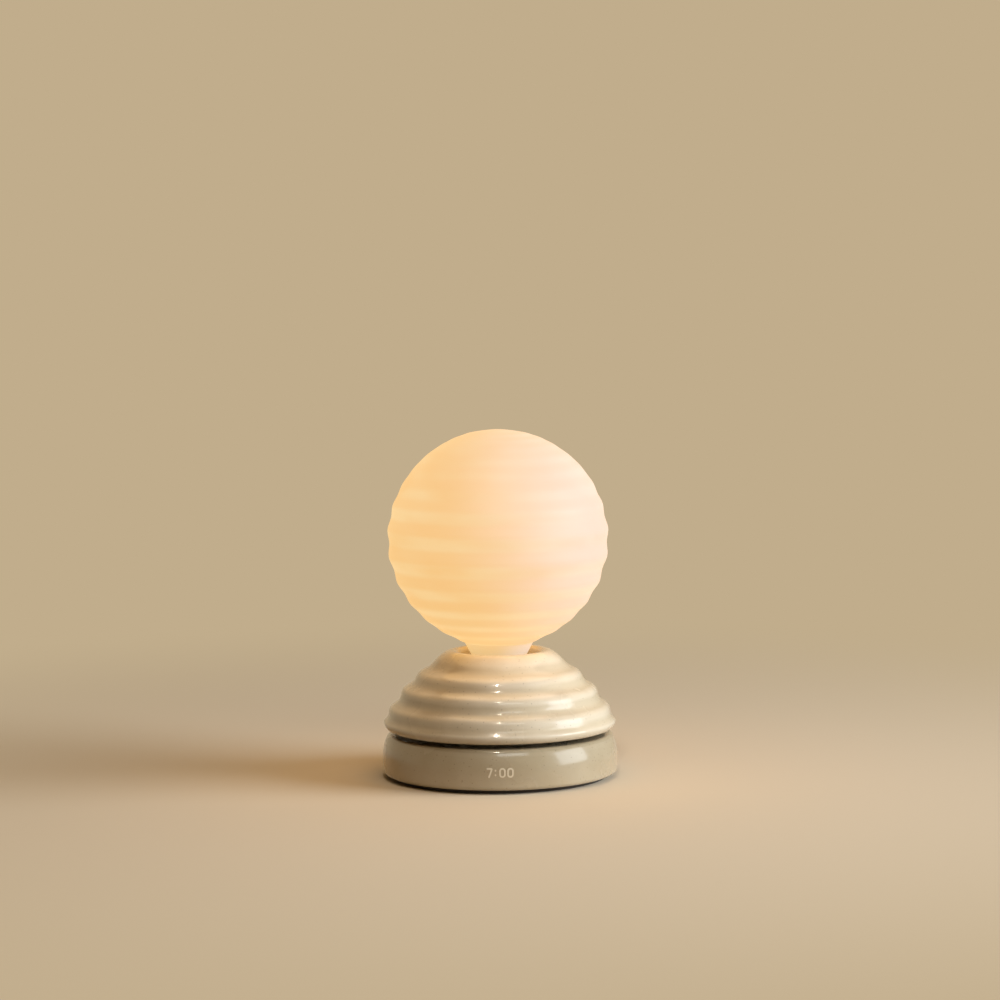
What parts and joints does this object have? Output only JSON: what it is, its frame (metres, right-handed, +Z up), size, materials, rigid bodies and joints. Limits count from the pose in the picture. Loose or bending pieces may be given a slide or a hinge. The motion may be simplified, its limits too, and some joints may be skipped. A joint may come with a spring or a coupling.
{
  "type": "wake-up light",
  "caption": "Bedside wake-up light: rippled opal glass globe on a rippled glazed dome that presses and turns, over a round glazed base with a hidden time display.",
  "frame": {"origin": "on the surface it stands on, under the centre of the base", "axes": "+Z up along the globe's and the dome's axis; -Y is the front with the display; +Y is the rear with the socket and buttons; +X is to the right seen from the front"},
  "size_m": [0.14, 0.14, 0.2067],
  "materials": {
    "base_glaze": "glossy speckled glaze over cast stoneware",
    "dome_glaze": "glossy speckled glaze over cast stoneware",
    "opal_glass": "satin, acid-etched opal glass",
    "foot_silicone": "matte silicone",
    "clear_silicone": "soft translucent silicone",
    "black_plastic": "moulded, fine texture",
    "white_plastic": "moulded, satin",
    "acetal": "moulded, slippery",
    "button_plastic": "moulded, soft-touch",
    "diffuser_plastic": "frosted, translucent",
    "circuit_board": "solder mask over glass epoxy",
    "white_board": "white solder mask over aluminium",
    "chip_epoxy": "moulded epoxy",
    "led_phosphor": "silicone with phosphor",
    "capacitor_can": "drawn can",
    "anodised_aluminium": "turned and anodised",
    "zinc_steel": "zinc plated",
    "spring_steel": "drawn wire and blanked strip",
    "ballast_steel": "phosphated steel",
    "nickel_shell": "nickel plated shell",
    "ferrite": "sintered magnet",
    "cone_paper": "pressed paper pulp",
    "foam": "closed-cell foam",
    "copper_winding": "enamelled wire",
    "cable_jacket": "soft jacket"
  },
  "bodies": {
    "base": {"foot_ring": "foot_silicone", "bottom_cover": "black_plastic", "base_shell": "base_glaze", "shell_gasket": "clear_silicone", "chassis": "black_plastic", "cover_screws": "zinc_steel", "ballast_ring": "ballast_steel", "main_board": "circuit_board", "board_screws": "zinc_steel", "board_chips": "chip_epoxy", "board_capacitors": "capacitor_can", "clock_crystal": "nickel_shell", "cell_holder": "black_plastic", "backup_cell": "nickel_shell", "led_plug": "white_plastic", "dial_plug": "white_plastic", "power_socket": "nickel_shell", "socket_tongue": "black_plastic", "speaker_gasket": "foam", "speaker_frame": "zinc_steel", "speaker_magnet": "ferrite", "speaker_surround": "foot_silicone", "speaker_cone": "cone_paper", "voice_coil": "copper_winding", "display_board": "circuit_board", "display_leds": "led_phosphor", "light_mask": "black_plastic", "display_diffuser": "diffuser_plastic", "rear_panel": "black_plastic", "button_board": "circuit_board", "button_switches": "black_plastic", "column": "white_plastic", "column_screws": "zinc_steel", "stop_clip": "spring_steel", "return_springs": "spring_steel", "dial_board": "circuit_board", "snooze_switch": "black_plastic", "turn_sensor": "chip_epoxy", "dial_cable": "cable_jacket", "heat_sink": "anodised_aluminium", "led_cable": "cable_jacket", "led_board": "white_board", "led_chips": "led_phosphor", "led_screws": "zinc_steel", "light_guide": "diffuser_plastic", "globe_collar": "white_plastic", "collar_screws": "zinc_steel", "globe_seal": "clear_silicone"},
    "press": {"press_carrier": "acetal", "bearing_washer": "acetal", "hub_clip": "spring_steel"},
    "dial": {"dome_shell": "dome_glaze", "dome_liner": "white_plastic", "dome_adhesive": "clear_silicone", "magnet_ring": "ferrite"},
    "snooze": {"snooze_plunger": "acetal"},
    "light_key": {"light_button": "button_plastic"},
    "sound_key": {"sound_button": "button_plastic"},
    "alarm_key": {"alarm_button": "button_plastic"},
    "shade": {"globe": "opal_glass"}
  },
  "joints": [
    {"name": "dome_press", "type": "slide", "parent": "base", "child": "press", "axis": [0, 0, 1], "range_m": [-0.001, 0], "stiffness_N_per_m": 1900, "springref_m": 0.0028, "deforming": ["return_springs"]},
    {"name": "dome_turn", "type": "hinge", "parent": "press", "child": "dial", "pos_m": [0, 0, 0.0424], "axis": [0, 0, 1], "continuous": true},
    {"name": "snooze_click", "type": "slide", "parent": "base", "child": "snooze", "axis": [0, 0, 1], "range_m": [-0.001, 0]},
    {"name": "globe_lift", "type": "slide", "parent": "base", "child": "shade", "axis": [0, 0, 1], "range_m": [0, 0.03]},
    {"name": "light_button_push", "type": "slide", "parent": "base", "child": "light_key", "axis": [0, 1, 0], "range_m": [-0.0006, 0], "stiffness_N_per_m": 1200, "springref_m": 0.0008},
    {"name": "sound_button_push", "type": "slide", "parent": "base", "child": "sound_key", "axis": [0, 1, 0], "range_m": [-0.0006, 0], "stiffness_N_per_m": 1200, "springref_m": 0.0008},
    {"name": "alarm_button_push", "type": "slide", "parent": "base", "child": "alarm_key", "axis": [0, 1, 0], "range_m": [-0.0006, 0], "stiffness_N_per_m": 1200, "springref_m": 0.0008}
  ],
  "couplings": [
    {"joint": "snooze_click", "follows": "dome_press", "ratio": 1}
  ]
}
